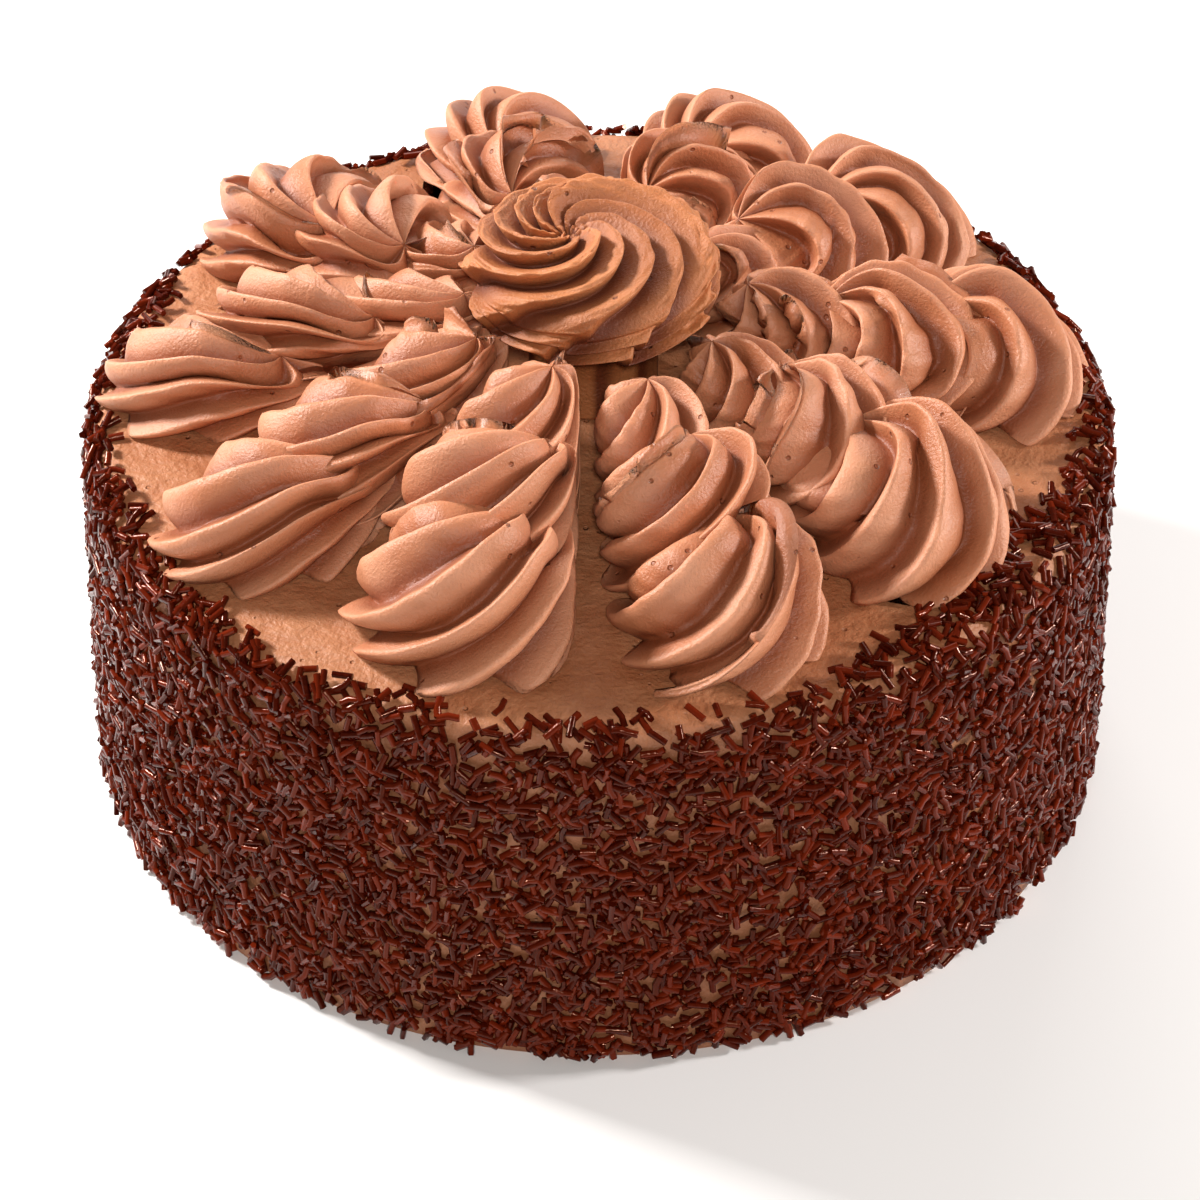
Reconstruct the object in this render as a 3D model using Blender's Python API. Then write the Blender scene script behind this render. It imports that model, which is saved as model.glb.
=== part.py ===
"""A round layer cake: an iced body with a coat of sprinkles, ten rows of piped swirls and a centre rosette.

Metres, +Z up. The cake stands on z = 0 with its axis on the origin, and the front of the cake faces -Y.
"""
import math
import random
from typing import NamedTuple

import bmesh
import bpy
from mathutils import Matrix, Vector

MM = 0.001
FULL_TURN = 2 * math.pi

# The iced body
BASE_RADIUS = 102.4 * MM
TOP_RADIUS = 98.8 * MM
HEIGHT = 79.0 * MM
SHOULDER = 5.0 * MM
FOOT_ROUND = 1.2 * MM
BODY_SEGMENTS = 60
SHOULDER_STEPS = 3

# Sprinkles fused to the body: even rows up the side, and a border on the shoulder
SPRINKLE_SEED = 5
SPRINKLE_ROWS = 6
SPRINKLES_A_ROW = 17
SPRINKLE_SIDES = 5
SPRINKLE_RADIUS = 0.75 * MM
SPRINKLE_LENGTHS = (4.2 * MM, 6.4 * MM)
SPRINKLE_SUNK = 0.1 * MM
SPRINKLE_TAPER = 0.6
LOWEST_SPRINKLE = 5.0 * MM
HIGHEST_SPRINKLE = HEIGHT - SHOULDER - 2.0 * MM
ROW_SPREAD = 0.18
BORDER_SPREAD = 0.2
BORDER_LEAN = math.pi / 4
BORDER_SKEW = 0.35

# The clear gap under the piped cream, and between one row of swirls and the next
GAP = 0.3 * MM
WALL_CLEARANCE = 0.2 * MM
SQUEEZE = 3.0 * MM
# Where the walls between rows are measured, from the axis
WALL_OUTER = 75.0 * MM
WALL_INNER = 34.0 * MM
# Keeps the flat feet of the swirls in a row from lying in one plane, where they are joined
FOOT_STEP = 0.04 * MM

# How every swirl is piped
STATIONS = 6
DIP = math.radians(-14)
DOME_POWER = 2.5
PEAK_POWER = 1.7
TWIST = math.radians(125)
TWIST_POWER = 1.5
LEAN = 0.22
RIDGE_DEPTH = 0.26
RIDGE_FADE = 0.55
FLARE = 2.2 * MM
FLARE_SHARE = 0.3
# The heart that the flutes are drawn in towards, as a share of the way to the peak
HEART = 0.3


class SwirlSize(NamedTuple):
    """A piped swirl: a ridged dome on an oval foot, its peak drawn back towards the cake's axis."""

    ridges: int
    half_width: float
    reach: float
    height: float
    peak_back: float
    base: float
    tilt: float


# The three swirls of a row, from the rim inwards
SWIRL_SIZES = (
    SwirlSize(8, 19.5 * MM, 18.5 * MM, 21.5 * MM, 9.0 * MM, 0.0, 0.0),
    SwirlSize(8, 17.5 * MM, 16.5 * MM, 20.5 * MM, 9.0 * MM, 6.0 * MM, math.radians(22)),
    SwirlSize(7, 13.5 * MM, 16.0 * MM, 17.5 * MM, 12.0 * MM, 7.5 * MM, math.radians(24)),
)


class Row(NamedTuple):
    """A row of three swirls, from the rim inwards, and how far it is stretched outwards.

    The azimuths are in degrees and the distances from the axis in millimetres.
    """

    azimuths: tuple
    distances: tuple
    scales: tuple
    stretch: float = 1.0


ROWS = (
    Row((250.3, 251, 252), (72, 55, 39), (1.12, 1.12, 1.05)),
    Row((287, 284.5, 283), (74, 54, 35), (1.02, 1.0, 0.88)),
    Row((322, 325, 328), (69, 50, 33), (1.15, 0.98, 0.85)),
    Row((364, 364, 369), (76.5, 59, 39.5), (1.0, 1.0, 0.9)),
    Row((401, 403.5, 404), (75, 55, 35), (1.04, 1.04, 0.85)),
    Row((429.3, 431, 431), (79.0, 57.5, 38), (0.98, 0.95, 0.85)),
    Row((463.6, 467, 466), (79, 60, 40), (0.98, 1.0, 0.9)),
    Row((502.5, 501, 498), (78.5, 60, 41), (0.98, 0.95, 0.9)),
    Row((539, 526, 526), (75, 58, 36), (0.86, 0.72, 0.72), 1.3),
    Row((571, 566, 557), (69.5, 50, 36), (0.92, 0.88, 0.8), 1.3),
)


class Ring(NamedTuple):
    """One level of the rosette's outline: its ridge depth and its turn are shares."""

    radius: float
    height: float
    depth: float
    turned: float


# The centre rosette, wound clockwise outwards from its middle
ROSETTE_CENTRE = Vector((-1.3 * MM, 3.0 * MM))
ROSETTE_RIDGES = 10
ROSETTE_TWIST = math.radians(215)
ROSETTE_LEAN = 0.25
ROSETTE_LIFT = 0.10
ROSETTE_OUTLINE = (
    Ring(12.5 * MM, 0.0, 0.0, 0.0),
    Ring(13.5 * MM, 13.0 * MM, 0.0, 0.0),
    Ring(19.0 * MM, 19.0 * MM, 0.06, 0.03),
    Ring(24.0 * MM, 22.0 * MM, 0.14, 0.07),
    Ring(24.0 * MM, 25.5 * MM, 0.16, 0.12),
    Ring(22.3 * MM, 29.5 * MM, 0.20, 0.22),
    Ring(17.5 * MM, 32.5 * MM, 0.24, 0.40),
    Ring(13.8 * MM, 33.8 * MM, 0.27, 0.52),
    Ring(10.0 * MM, 34.6 * MM, 0.30, 0.66),
    Ring(5.5 * MM, 35.0 * MM, 0.32, 0.84),
    Ring(0.0, 33.5 * MM, 0.0, 1.0),
)

SHARP_ANGLE = math.radians(40)


def clear_scene():
    for thing in list(bpy.data.objects):
        bpy.data.objects.remove(thing, do_unlink=True)


def material(name, colour, roughness):
    made = bpy.data.materials.new(name)
    made.use_nodes = True
    shader = made.node_tree.nodes["Principled BSDF"]
    shader.inputs["Base Color"].default_value = (*colour, 1.0)
    shader.inputs["Roughness"].default_value = roughness
    return made


def node_of(name, made, finish):
    """One named object that holds a finished bmesh."""
    bmesh.ops.recalc_face_normals(made, faces=made.faces)
    mesh = bpy.data.meshes.new(name)
    made.to_mesh(mesh)
    made.free()
    mesh.materials.append(finish)
    node = bpy.data.objects.new(name, mesh)
    bpy.context.scene.collection.objects.link(node)
    return node


def shade(node):
    """Smooth shading that keeps sharp edges sharp."""
    node.data.shade_smooth()
    node.data.set_sharp_from_angle(angle=SHARP_ANGLE)
    return node


def rings_to_mesh(rings):
    """A closed surface through rings of equal count. A ring of one point is a tip."""
    made = bmesh.new()
    rows = [[made.verts.new(point) for point in ring] for ring in rings]
    for low, high in zip(rows, rows[1:]):
        count = max(len(low), len(high))
        for i in range(count):
            j = (i + 1) % count
            corners = [low[i % len(low)], low[j % len(low)], high[j % len(high)], high[i % len(high)]]
            made.faces.new(list(dict.fromkeys(corners)))
    for row in (rows[0], rows[-1]):
        if len(row) > 1:
            made.faces.new(row)
    return made


def polar(radius, azimuth):
    return Vector((radius * math.cos(azimuth), radius * math.sin(azimuth)))


def keep_main_shell(mesh):
    """Keeps the largest closed shell, which fills sealed hollows and drops loose scraps."""
    made = bmesh.new()
    made.from_mesh(mesh)
    unseen = set(made.verts)
    shells = []
    while unseen:
        waiting = [unseen.pop()]
        shell = list(waiting)
        while waiting:
            vert = waiting.pop()
            beside = {edge.other_vert(vert) for edge in vert.link_edges} & unseen
            unseen -= beside
            shell.extend(beside)
            waiting.extend(beside)
        shells.append(shell)
    shells.sort(key=len)
    loose = [vert for shell in shells[:-1] for vert in shell]
    bmesh.ops.delete(made, geom=loose, context="VERTS")
    made.to_mesh(mesh)
    made.free()


def fuse(base, others):
    """Joins the others onto the base by one Boolean union on a collection, applied."""
    group = bpy.data.collections.new("fused")
    bpy.context.scene.collection.children.link(group)
    for other in others:
        bpy.context.scene.collection.objects.unlink(other)
        group.objects.link(other)
    union = base.modifiers.new("union", "BOOLEAN")
    union.operation = "UNION"
    union.operand_type = "COLLECTION"
    union.collection = group
    union.solver = "EXACT"
    bpy.context.view_layer.update()
    graph = bpy.context.evaluated_depsgraph_get()
    joined = bpy.data.meshes.new_from_object(base.evaluated_get(graph))
    base.modifiers.remove(union)
    base.data = joined
    for other in others:
        bpy.data.objects.remove(other, do_unlink=True)
    bpy.data.collections.remove(group)
    keep_main_shell(joined)


def swirl_rings(size, scale, stretch):
    """Rings of points from foot to peak, in the swirl's own frame: x outwards from the axis, z up."""
    pitch = FULL_TURN / size.ridges
    reach = size.reach * scale * stretch
    half_width = size.half_width * scale
    height = size.height * scale
    peak_back = size.peak_back * scale * stretch
    heart = Vector((-HEART * peak_back, 0, HEART * height))
    seat = Matrix.Translation((0, 0, size.base * scale)) @ Matrix.Rotation(-size.tilt, 4, "Y")
    rings = []
    for station in range(STATIONS + 1):
        share = station / STATIONS
        climb = DIP + (math.pi / 2 - DIP) * share
        wide = max(0.0, math.cos(climb)) ** (2 / DOME_POWER)
        rise = math.copysign(abs(math.sin(climb)) ** (2 / DOME_POWER), climb)
        back = peak_back * max(0.0, rise) ** PEAK_POWER
        turned = TWIST * (1 - share) ** TWIST_POWER
        depth = RIDGE_DEPTH * min(1.0, wide / RIDGE_FADE)
        flare = FLARE * scale * max(0.0, 1 - share / FLARE_SHARE)
        ring = []
        for i in range(1 if station == STATIONS else 2 * size.ridges):
            crest = (i + 1) % 2
            angle = pitch * (i / 2 - LEAN * crest) - turned
            out = reach * wide + flare * crest
            across = half_width * wide + flare * crest
            skin = Vector((out * math.cos(angle) - back, across * math.sin(angle), height * rise))
            ring.append(seat @ skin.lerp(heart, depth * (1 - crest)))
        rings.append(ring)
    foot_middle = sum(rings[0], Vector()) / len(rings[0])
    return [[foot_middle], *rings]


class Wall(NamedTuple):
    """An upright plane, by a place on it and its direction in plan."""

    place: Vector
    along: Vector


def wall_between(low, high, turn):
    """The wall halfway between two rows. The turn, in degrees, is added to the lower row's azimuths."""
    outer = polar(WALL_OUTER, math.radians((low.azimuths[0] + turn + high.azimuths[0]) / 2))
    inner = polar(WALL_INNER, math.radians((low.azimuths[2] + turn + high.azimuths[2]) / 2))
    return Wall(outer, (outer - inner).normalized())


def squeezed(point, wall, side):
    """The point pressed back from a wall. The side is 1 for a row anticlockwise of the wall, else -1."""
    normal = Vector((-wall.along.y, wall.along.x)) * side
    away = (point.xy - wall.place).dot(normal)
    if away >= SQUEEZE:
        return point
    room = SQUEEZE - WALL_CLEARANCE
    held = WALL_CLEARANCE + room * math.exp((away - SQUEEZE) / room)
    return point + (normal * (held - away)).to_3d()


def cut_flat(made, level):
    """Cuts away all below this level and closes the mesh there."""
    everything = [*made.verts, *made.edges, *made.faces]
    bmesh.ops.bisect_plane(
        made, geom=everything, plane_co=(0, 0, level), plane_no=(0, 0, 1), clear_inner=True, dist=1e-7
    )
    rim = [edge for edge in made.edges if edge.is_boundary]
    bmesh.ops.holes_fill(made, edges=rim, sides=0)
    bmesh.ops.triangulate(made, faces=made.faces)


def make_petal(index, finish):
    """One row of three swirls as one node, clear of the rows beside it."""
    row = ROWS[index]
    is_last = index == len(ROWS) - 1
    low = wall_between(ROWS[index - 1], row, -360 if index == 0 else 0)
    high = wall_between(ROWS[0], row, 360) if is_last else wall_between(row, ROWS[index + 1], 0)
    swirls = []
    for level, size in enumerate(SWIRL_SIZES):
        spin = math.radians(row.azimuths[level])
        spot = polar(row.distances[level] * MM, spin)
        place = Matrix.Translation((*spot, HEIGHT)) @ Matrix.Rotation(spin, 4, "Z")
        rings = []
        for ring in swirl_rings(size, row.scales[level], row.stretch):
            placed = [place @ point for point in ring]
            rings.append([squeezed(squeezed(point, low, 1), high, -1) for point in placed])
        made = rings_to_mesh(rings)
        cut_flat(made, HEIGHT + GAP + FOOT_STEP * level)
        swirls.append(node_of(f"petal_{index + 1:02d}_{level}", made, finish))
    petal = swirls[0]
    petal.name = f"petal_{index + 1:02d}"
    fuse(petal, swirls[1:])
    return shade(petal)


def body_outline():
    """(radius, height) from the foot's middle to the top's middle."""
    points = [(0.0, 0.0), (BASE_RADIUS - FOOT_ROUND, 0.0), (BASE_RADIUS, FOOT_ROUND)]
    for i in range(SHOULDER_STEPS + 1):
        points.append(shoulder_point(math.pi / 2 * i / SHOULDER_STEPS))
    points.append((0.0, HEIGHT))
    return points


def shoulder_point(lean):
    """(radius, height) on the round shoulder, where its outward direction leans up by this angle."""
    return TOP_RADIUS - SHOULDER * (1 - math.cos(lean)), HEIGHT - SHOULDER * (1 - math.sin(lean))


def side_radius(height):
    share = (height - FOOT_ROUND) / (HEIGHT - SHOULDER - FOOT_ROUND)
    return BASE_RADIUS + (TOP_RADIUS - BASE_RADIUS) * share


def sprinkle_mesh(length):
    """A short rod along x with blunt pointed ends."""
    half = length / 2
    taper = SPRINKLE_RADIUS * SPRINKLE_TAPER
    turns = [FULL_TURN * i / SPRINKLE_SIDES for i in range(SPRINKLE_SIDES)]
    rings = [[Vector((-half, 0, 0))]]
    for x in (taper - half, half - taper):
        rings.append([Vector((x, *polar(SPRINKLE_RADIUS, turn))) for turn in turns])
    rings.append([Vector((half, 0, 0))])
    return rings_to_mesh(rings)


def sprinkle_places(draw):
    """Where each sprinkle lies: a point of the skin, the skin's outward direction and a turn about it."""
    places = []
    for row in range(SPRINKLE_ROWS):
        rise = HIGHEST_SPRINKLE - LOWEST_SPRINKLE
        height = LOWEST_SPRINKLE + rise * row / (SPRINKLE_ROWS - 1)
        offset = 0.5 * (row % 2)
        for i in range(SPRINKLES_A_ROW):
            azimuth = FULL_TURN * (i + offset + draw.uniform(-ROW_SPREAD, ROW_SPREAD)) / SPRINKLES_A_ROW
            point = Vector((*polar(side_radius(height) + SPRINKLE_SUNK, azimuth), height))
            places.append((point, polar(1, azimuth).to_3d(), draw.uniform(0, math.pi)))
    radius, height = shoulder_point(BORDER_LEAN)
    for i in range(SPRINKLES_A_ROW):
        azimuth = FULL_TURN * (i + draw.uniform(-BORDER_SPREAD, BORDER_SPREAD)) / SPRINKLES_A_ROW
        outward = Vector((*polar(math.cos(BORDER_LEAN), azimuth), math.sin(BORDER_LEAN)))
        turn = math.pi / 2 + draw.uniform(-BORDER_SKEW, BORDER_SKEW)
        places.append((Vector((*polar(radius, azimuth), height)), outward, turn))
    return places


def make_body(finish):
    """The iced body with its sprinkles fused on."""
    turns = [FULL_TURN * i / BODY_SEGMENTS for i in range(BODY_SEGMENTS)]
    rings = []
    for radius, height in body_outline():
        around = turns if radius else [0.0]
        rings.append([Vector((*polar(radius, turn), height)) for turn in around])
    body = node_of("cake", rings_to_mesh(rings), finish)
    draw = random.Random(SPRINKLE_SEED)
    sprinkles = []
    for number, (point, outward, turn) in enumerate(sprinkle_places(draw)):
        made = sprinkle_mesh(draw.uniform(*SPRINKLE_LENGTHS))
        side = Vector((-outward.y, outward.x, 0)).normalized()
        along = Matrix.Rotation(turn, 3, outward) @ side
        frame = Matrix((along, outward.cross(along), outward)).transposed().to_4x4()
        bmesh.ops.transform(made, matrix=Matrix.Translation(point) @ frame, verts=made.verts)
        sprinkles.append(node_of(f"sprinkle_{number}", made, finish))
    fuse(body, sprinkles)
    return shade(body)


def make_rosette(finish):
    """The rosette: ridges that wind clockwise outwards and lean over as they go."""
    pitch = FULL_TURN / ROSETTE_RIDGES
    rings = []
    for level in ROSETTE_OUTLINE:
        ring = []
        for i in range(2 * ROSETTE_RIDGES if level.radius else 1):
            crest = (i + 1) % 2
            lean = ROSETTE_LEAN * crest * level.depth / ROSETTE_OUTLINE[-2].depth
            angle = pitch * (i / 2 + lean) - ROSETTE_TWIST * (1 - level.turned)
            spot = ROSETTE_CENTRE + polar(level.radius * (1 - level.depth * (1 - crest)), angle)
            lift = ROSETTE_LIFT * level.radius * level.depth * (crest - 0.5)
            ring.append(Vector((*spot, HEIGHT + GAP + level.height + lift)))
        rings.append(ring)
    return shade(node_of("rosette", rings_to_mesh(rings), finish))


def main():
    clear_scene()
    make_body(material("iced_side", (0.09, 0.03, 0.018), 0.4))
    cream = material("cream", (0.434, 0.202, 0.122), 0.5)
    for index in range(len(ROWS)):
        make_petal(index, cream)
    make_rosette(material("rosette_cream", (0.38, 0.15, 0.07), 0.5))


main()
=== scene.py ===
"""A round layer cake with a coat of sprinkles, ten rows of piped swirls and a centre rosette, in full."""
import logging
import math
import random
from dataclasses import dataclass
from enum import Enum

import bmesh
import bpy
import numpy as np
from mathutils import Euler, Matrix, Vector


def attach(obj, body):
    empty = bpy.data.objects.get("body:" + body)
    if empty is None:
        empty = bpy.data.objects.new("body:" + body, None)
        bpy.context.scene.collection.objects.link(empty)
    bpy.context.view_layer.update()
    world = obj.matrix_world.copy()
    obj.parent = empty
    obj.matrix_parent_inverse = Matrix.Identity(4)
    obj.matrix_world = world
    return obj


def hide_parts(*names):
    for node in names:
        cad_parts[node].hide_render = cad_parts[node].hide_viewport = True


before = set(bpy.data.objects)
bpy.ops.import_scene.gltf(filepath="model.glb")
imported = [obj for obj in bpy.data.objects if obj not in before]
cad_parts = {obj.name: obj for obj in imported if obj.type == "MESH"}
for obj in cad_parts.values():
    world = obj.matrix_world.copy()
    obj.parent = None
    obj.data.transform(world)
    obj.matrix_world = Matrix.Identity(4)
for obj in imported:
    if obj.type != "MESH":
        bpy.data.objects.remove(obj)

LOG = logging.getLogger("layer_cake")
MM = 0.001

# The iced body's top, which every swirl stands on
TOP_LEVEL = 79.0 * MM
# How far the back of a piped ridge is round, as a share
BACK_ROUND = 0.85
Colour = tuple[float, float, float]


class Piece(Enum):
    """Names of the finished pieces, apart from the rows of swirls, which are numbered."""

    ICING = "icing"
    ROSETTE = "rosette_cream"
    LONG_RODS = "sprinkles_long"
    SHORT_RODS = "sprinkles_short"
    BENT_RODS = "sprinkles_bent"
    UNDER_RODS = "sprinkles_under"
    THIN_RODS = "sprinkles_thin"


@dataclass(frozen=True)
class CreamFinish:
    """How a piped cream looks. The shares say how strongly each effect covers the tone below it."""

    name: str
    light: Colour
    deep: Colour
    # Painted shade: the colour laid down in the flutes and in the air pits
    flute_shade: Colour
    roughness: float
    subsurface: float
    grain: float
    flute_shade_share: float = 0.92
    # Painted highlight along the crests' edges: how strongly it covers, and how much paler than the light
    # tone it is
    crest_highlight_share: float = 0.45
    crest_highlight_gain: float = 1.25
    # Share of painted shade in the air pits
    pit_shade_share: float = 0.75
    bleed: Colour = (1.0, 0.45, 0.25)
    bleed_depth: float = 2.5 * MM


@dataclass(frozen=True)
class IcingFinish:
    """How the spread icing looks: light and deep tones on the top, and painted shade on the side under the
    sprinkles.
    """

    name: str
    light: Colour
    deep: Colour
    # Painted shade for the side, between and under the sprinkles
    rod_shade: Colour
    roughness: float
    streak_share: float = 0.06
    # Share of painted shade in the air pits
    pit_shade_share: float = 0.6
    rod_shade_share: float = 0.32
    # How far below the top the painted shade under the sprinkles starts and is full
    rod_shade_depths: tuple[float, float] = (1.5 * MM, 5.0 * MM)
    bleed: Colour = (1.0, 0.5, 0.3)
    bleed_depth: float = 2.0 * MM
    subsurface: float = 0.08
    relief: float = 0.35 * MM


@dataclass(frozen=True)
class SprinkleFinish:
    """How a sprinkle looks: its darkest and brightest tones and the sheen of its glaze."""

    name: str
    dark: Colour
    bright: Colour
    roughness: float
    sheen: float = 0.22
    sheen_tint: Colour = (1.0, 0.55, 0.38)


# For each cream, light and deep are its own tones, and the third colour is painted shade for the flutes and
# pits
PETAL_CREAM = CreamFinish(
    "milk_cream", (0.56, 0.245, 0.132), (0.45, 0.160, 0.070), (0.24, 0.056, 0.017), 0.48, 0.05, 2.4
)
ROSETTE_CREAM = CreamFinish(
    "caramel_cream", (0.49, 0.175, 0.060), (0.36, 0.105, 0.028), (0.12, 0.020, 0.004), 0.55, 0.05, 3.4
)
# The third colour is painted shade for the side under the sprinkles
TOP_ICING = IcingFinish(
    "spread_icing", (0.47, 0.195, 0.088), (0.37, 0.130, 0.050), (0.060, 0.012, 0.005), 0.55
)
ROD_FINISH = SprinkleFinish("sprinkle_glaze", (0.034, 0.0020, 0.0004), (0.15, 0.014, 0.003), 0.08)


def polar(radius: float, azimuth: float) -> tuple[float, float]:
    """The x and y of a place given by its distance from the axis and its azimuth in radians."""
    return radius * math.cos(azimuth), radius * math.sin(azimuth)


def smooth_step(value: np.ndarray) -> np.ndarray:
    """An ease from 0 to 1 over the same range."""
    held = np.clip(value, 0.0, 1.0)
    return held * held * (3.0 - 2.0 * held)


class Waves:
    """Smooth seeded noise: a sum of waves over two directions, the second of which closes on itself."""

    def __init__(self, seed: int, count: int, fastest: float, rounds: int) -> None:
        """Draws the waves.

        Args:
            seed: fixes the draw.
            count: how many waves are summed.
            fastest: most cycles along the first direction.
            rounds: most whole cycles round the second.
        """
        draw = random.Random(seed)
        self.waves = [
            (draw.uniform(0.3, fastest), draw.randint(-rounds, rounds), draw.uniform(0, 2 * math.pi))
            for _ in range(count)
        ]

    def at(self, along: np.ndarray, turn: np.ndarray) -> np.ndarray:
        """The noise, mostly within -1 and 1.

        Args:
            along: place in the first direction, about 0 to 1.
            turn: angle in radians in the second.

        Returns:
            One value for each pair.
        """
        total = np.zeros(np.broadcast(along, turn).shape)
        for speed, rounds, phase in self.waves:
            total = total + np.sin(2 * math.pi * speed * along + rounds * turn + phase)
        return total / math.sqrt(len(self.waves))


def ridge_shape(phase: np.ndarray, softness: np.ndarray) -> np.ndarray:
    """Height of a piped ridge: 1 on its crest at phase 0, 0 in the flute at phase a half.

    The back of a ridge, before its crest, is round; the front falls away from a sharp edge.

    Args:
        phase: place across the ridges, one ridge a unit.
        softness: how far the crest is rounded off.

    Returns:
        The height at each place.
    """
    place = phase - np.round(phase)
    bow = np.sqrt(np.sin(math.pi * place) ** 2 + softness**2)
    edge = 1.0 - (bow - softness) / (np.sqrt(1 + softness**2) - softness)
    swell = np.abs(np.cos(math.pi * place)) ** 0.9
    share = np.where(place < 0, BACK_ROUND, softness)
    return edge + (swell - edge) * share


def mesh_from_rings(name: str, rings: np.ndarray, tips: tuple[bool, bool]) -> bpy.types.Mesh:
    """A closed mesh through rings of points.

    Args:
        name: the mesh's name.
        rings: array of shape (rings, points, 3).
        tips: whether the first and the last ring close to a point, or else with one flat face.

    Returns:
        The mesh, with its faces pointing out where the rings climb anticlockwise.
    """
    count, around, _ = rings.shape
    points = rings.reshape(-1, 3)
    low = np.arange((count - 1) * around)
    row, column = np.divmod(low, around)
    beside = row * around + (column + 1) % around
    faces = np.stack([low, beside, beside + around, low + around], axis=1).tolist()
    extra = []
    for end, has_tip in enumerate(tips):
        first = (count - 1) * around * end
        ring = list(range(first, first + around))
        if not has_tip:
            faces.append(ring if end else ring[::-1])
            continue
        tip = len(points) + len(extra)
        extra.append(points[first : first + around].mean(axis=0))
        for i in range(around):
            pair = [ring[i], ring[(i + 1) % around]]
            faces.append([*pair, tip] if end else [*pair[::-1], tip])
    if extra:
        points = np.concatenate([points, np.array(extra)])
    mesh = bpy.data.meshes.new(name)
    mesh.from_pydata(points.tolist(), [], faces)
    return mesh


def store(mesh: bpy.types.Mesh, name: str, values: np.ndarray) -> None:
    """Keeps one number a vertex on the mesh, under this name."""
    layer = mesh.attributes.new(name, "FLOAT", "POINT")
    padded = np.zeros(len(mesh.vertices), np.float32)
    padded[: values.size] = values.reshape(-1)
    layer.data.foreach_set("value", padded)


def place_piece(name: str, mesh: bpy.types.Mesh, material: bpy.types.Material) -> bpy.types.Object:
    """An object at the origin that holds the mesh and its one material, shaded smooth."""
    mesh.materials.clear()
    mesh.materials.append(material)
    mesh.shade_smooth()
    made = bpy.data.objects.new(name, mesh)
    bpy.context.scene.collection.objects.link(made)
    return made


class NodeGraph:
    """A small helper that adds and links nodes in a material or a group."""

    def __init__(self, tree: bpy.types.NodeTree) -> None:
        """Works on this tree."""
        self.tree = tree

    def add(self, kind: str, **settings: object) -> bpy.types.Node:
        """Adds a node.

        Args:
            kind: the node's type name.
            settings: its properties.

        Returns:
            The node.
        """
        node = self.tree.nodes.new(kind)
        for key, value in settings.items():
            setattr(node, key, value)
        return node

    def link(self, source: bpy.types.NodeSocket, target: bpy.types.NodeSocket) -> None:
        """Joins an output to an input."""
        self.tree.links.new(source, target)

    def noise(
        self, place: bpy.types.NodeSocket, scale: object, detail: float, roughness: float = 0.5
    ) -> bpy.types.Node:
        """A noise texture over the place, at a scale that is a socket or a number."""
        node = self.add("ShaderNodeTexNoise")
        node.inputs["Detail"].default_value = detail
        node.inputs["Roughness"].default_value = roughness
        self.link(place, node.inputs["Vector"])
        if isinstance(scale, (int, float)):
            node.inputs["Scale"].default_value = scale
        else:
            self.link(scale, node.inputs["Scale"])
        return node

    def ramp(self, value: bpy.types.NodeSocket, low: float, high: float) -> bpy.types.NodeSocket:
        """Eases a value from 0 at low to 1 at high, which may be the smaller of the two."""
        node = self.add("ShaderNodeMapRange", interpolation_type="SMOOTHSTEP")
        node.inputs["From Min"].default_value = low
        node.inputs["From Max"].default_value = high
        self.link(value, node.inputs["Value"])
        return node.outputs["Result"]

    def math(self, operation: str, first: object, second: object) -> bpy.types.NodeSocket:
        """One sum on two sockets or numbers."""
        node = self.add("ShaderNodeMath", operation=operation)
        for socket, value in zip(node.inputs, (first, second)):
            if isinstance(value, (int, float)):
                socket.default_value = value
            else:
                self.link(value, socket)
        return node.outputs["Value"]

    def blend(self, share: object, first: object, second: object) -> bpy.types.NodeSocket:
        """Mixes two colours, each a socket or three numbers, by a share."""
        node = self.add("ShaderNodeMix", data_type="RGBA", blend_type="MIX")
        for socket, value in ((node.inputs[0], share), (node.inputs[6], first), (node.inputs[7], second)):
            if isinstance(value, (int, float)):
                socket.default_value = value
            elif isinstance(value, tuple):
                socket.default_value = (*value, 1.0)
            else:
                self.link(value, socket)
        return node.outputs[2]


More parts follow.
